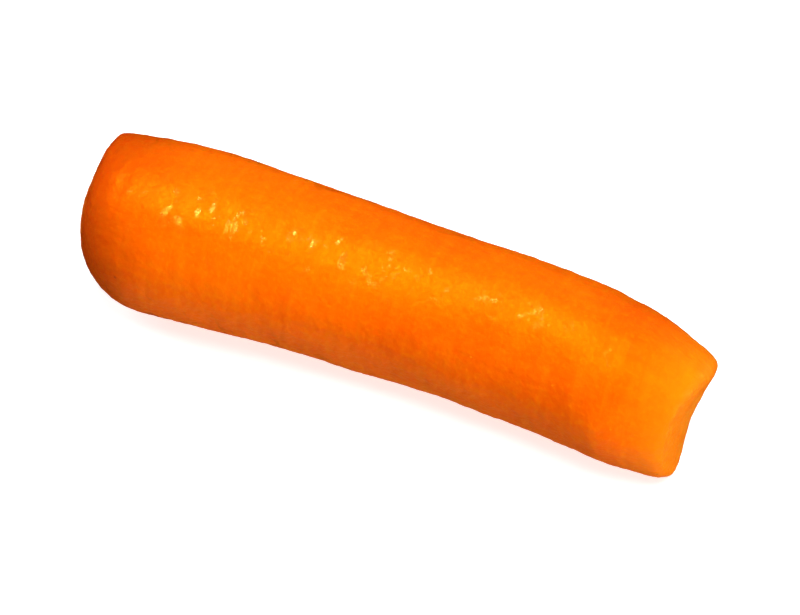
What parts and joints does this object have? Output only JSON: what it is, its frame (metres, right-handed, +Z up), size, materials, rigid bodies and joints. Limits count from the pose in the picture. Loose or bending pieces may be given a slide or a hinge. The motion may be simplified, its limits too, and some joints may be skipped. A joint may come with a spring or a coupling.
{
  "type": "baby-cut carrot",
  "caption": "Short peeled length of carrot root with a blunt rounded crown end and a chopped, slightly hollow tip end, gently bowed, lying on its side.",
  "frame": {"origin": "on the surface that the carrot lies on, under the middle of its bounding box", "axes": "+Z up; X runs along the root, from the blunt crown end at -X to the chopped tip end at +X; the root bows sideways towards +Y"},
  "size_m": [0.0584, 0.0168, 0.0159],
  "materials": {
    "carrot_flesh": "moist orange carrot flesh, milled smooth, with a thin film of water"
  },
  "bodies": {
    "root": {"carrot": "carrot_flesh"}
  },
  "joints": []
}
